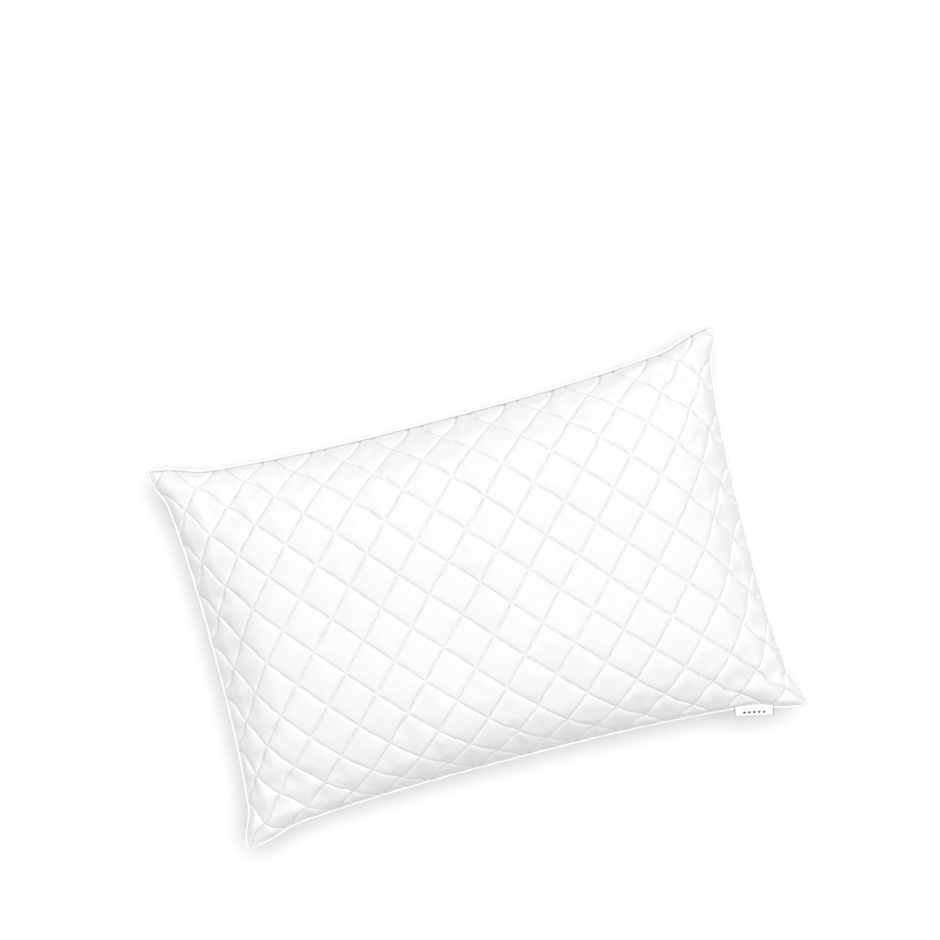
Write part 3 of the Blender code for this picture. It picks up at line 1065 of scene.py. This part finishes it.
def label_points(path, hinge, along, outward, piping, shares, width):
    """Points of the ribbon's outer and inner face: a row across for each point of its path.

    At its root the ribbon follows the piping's bend, and further out it is straight.
    """
    bent, straight = label_roots(hinge, along, outward, piping, shares, width)
    points = []
    for side in (1, -1):
        for k, (out, up) in enumerate(path):
            before, after = path[max(k - 1, 0)], path[min(k + 1, len(path) - 1)]
            run = Vector((after[0] - before[0], after[1] - before[1])).normalized()
            reach = min(1.0, max(0.0, (out - PIPING_RADIUS) / LABEL_SETTLE))
            for share, root, level in zip(shares, bent, straight):
                shift = root * (1 - reach) + level * reach
                wave = LABEL_WAVE * math.sin(LABEL_WAVE_TURN * share + LABEL_WAVE_PHASE) * reach
                away = out - run.y * RIBBON_HALF * side + float(shift[0])
                lift = up + run.x * RIBBON_HALF * side + float(shift[1]) + wave
                point = hinge + along * share * width + outward * away + Vector((0, 0, lift))
                points.append(tuple(point))
    return points


def motif_place(path, runs):
    """How far along the ribbon's upper leg the row of lozenges lies."""
    reached = [out for out, up in path]
    upper = reached.index(max(reached)) + 1
    return float(np.interp(MOTIF_OUT, reached[:upper], runs[:upper]))


def build_label(piping):
    """The ribbon, folded double over the piping, its root following the piping's bend."""
    joint = next(j for j in frame["joints"] if j["name"] == "label_flip")
    hinge = Vector(joint["pos_m"])
    along = -Vector(joint["axis"]).normalized()
    outward = Vector((along.y, -along.x, 0.0))
    low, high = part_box("side_label")
    width = (high[0] - low[0] - LABEL_REACH * abs(along.y)) / along.x
    path = label_section()
    runs = np.concatenate([[0], np.cumsum([math.dist(a, b) for a, b in zip(path, path[1:])])])
    shares = np.linspace(-0.5, 0.5, LABEL_COLUMNS + 1)
    points = label_points(path, hinge, along, outward, piping, shares, width)
    places = [(share * width, run) for _ in (1, -1) for run in runs for share in shares]
    index = np.arange(len(path) * len(shares)).reshape(len(path), len(shares))
    skin = split_quads(index, np.ones((len(path) - 1, LABEL_COLUMNS), bool))
    triangles = shell_triangles(skin, index)[:, ::-1]
    material = ribbon("ribbon", width, motif_place(path, runs))
    label = make_piece("label", points, triangles, material, places)
    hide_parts("side_label")
    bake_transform(label)


# ---- floor, light and camera -------------------------------------------------------------

FLOOR_HALF = 30.0
FLOOR_DROP = 0.3 * MM

# The camera's roll and lean, how much its picture spans at the seam's height, how far that
# picture's middle lies from the pillow's, to the right and up, and how far off the camera is.
VIEW_ROLL = math.radians(14.5)
VIEW_TILT = math.radians(4.0)
VIEW_WIDTH = 1.175
VIEW_SHIFT = (-0.011, 0.149)
CAMERA_DISTANCE = 3.3
SENSOR_WIDTH = 36

# The surround's light, and the sun's, its width and where it comes from.
WORLD_STRENGTH = 0.40
SUN_STRENGTH = 2.25
SUN_WIDTH = math.radians(45)
SUN_FROM = (0.11, 0.19, 0.98)


def build_floor():
    """A wide matte white floor, just below the pillow."""
    nodes = Nodes("floor", (0.93, 0.93, 0.93), 0.9)
    place = nodes.place("Object", (1, 1, 1))
    nodes.colours(nodes.noise(place, 1.5, 2.0), (0.925, 0.925, 0.925), (0.935, 0.935, 0.935))
    far = FLOOR_HALF
    corners = [(-far, -far, 0), (far, -far, 0), (far, far, 0), (-far, far, 0)]
    floor = make_piece("floor", corners, [(0, 1, 2), (0, 2, 3)], nodes.material)
    floor.location.z = -FLOOR_DROP


def build_camera():
    """Nearly straight above, leaning 4 degrees to +Y; the picture's right is 14.5 degrees
    clockwise of the pillow's +X."""
    back = Vector((0, math.sin(VIEW_TILT), math.cos(VIEW_TILT)))
    level = Vector((1, 0, 0))
    rise = back.cross(level)
    right = level * math.cos(VIEW_ROLL) - rise * math.sin(VIEW_ROLL)
    up = level * math.sin(VIEW_ROLL) + rise * math.cos(VIEW_ROLL)
    camera = bpy.data.cameras.new("camera")
    camera.sensor_width = SENSOR_WIDTH
    camera.lens = SENSOR_WIDTH * CAMERA_DISTANCE / VIEW_WIDTH
    item = bpy.data.objects.new("camera", camera)
    bpy.context.collection.objects.link(item)
    target = right * VIEW_SHIFT[0] + up * VIEW_SHIFT[1] + Vector((0, 0, SEAM_HEIGHT))
    item.location = target + back * CAMERA_DISTANCE
    item.rotation_euler = Matrix((right, up, back)).transposed().to_euler()
    bpy.context.scene.camera = item


def build_light():
    """An even white surround, and a wide soft sun from the picture's upper right."""
    world = bpy.data.worlds.new("studio")
    bpy.context.scene.world = world
    world.use_nodes = True
    background = world.node_tree.nodes["Background"]
    background.inputs["Color"].default_value = (1.0, 1.0, 1.0, 1.0)
    background.inputs["Strength"].default_value = WORLD_STRENGTH
    sun = bpy.data.lights.new("key", "SUN")
    sun.angle = SUN_WIDTH
    sun.energy = SUN_STRENGTH
    item = bpy.data.objects.new("key", sun)
    bpy.context.collection.objects.link(item)
    item.rotation_euler = Vector(SUN_FROM).to_track_quat("Z", "Y").to_euler()
    bpy.context.scene.view_settings.view_transform = "Standard"


# ---- the whole scene ---------------------------------------------------------------------

def main():
    """Inflate the panels, dress them, and set the stage."""
    inflated = inflate()
    face_shape = Shape(inflated, FACE_STEPS)
    layer_shape = Shape(inflated, LAYER_STEPS)
    fill_shape = Shape(inflated, FILL_STEPS)
    cloth = cotton("face cloth", quilted=True)
    backing = cotton("backing cloth", (0.88, 0.88, 0.87))
    stitch = thread("thread")
    mat = wadding("wadding")
    for prefix, side in (("top", 1), ("bottom", -1)):
        build_panel(prefix, side, face_shape, layer_shape, cloth, stitch, mat, backing)
    build_fill(fill_shape, wadding("fibre"))
    piping = build_edge(layer_shape, cotton("piping cloth"), cord("cord"), stitch)
    build_label(piping)
    build_floor()
    build_light()
    build_camera()


main()
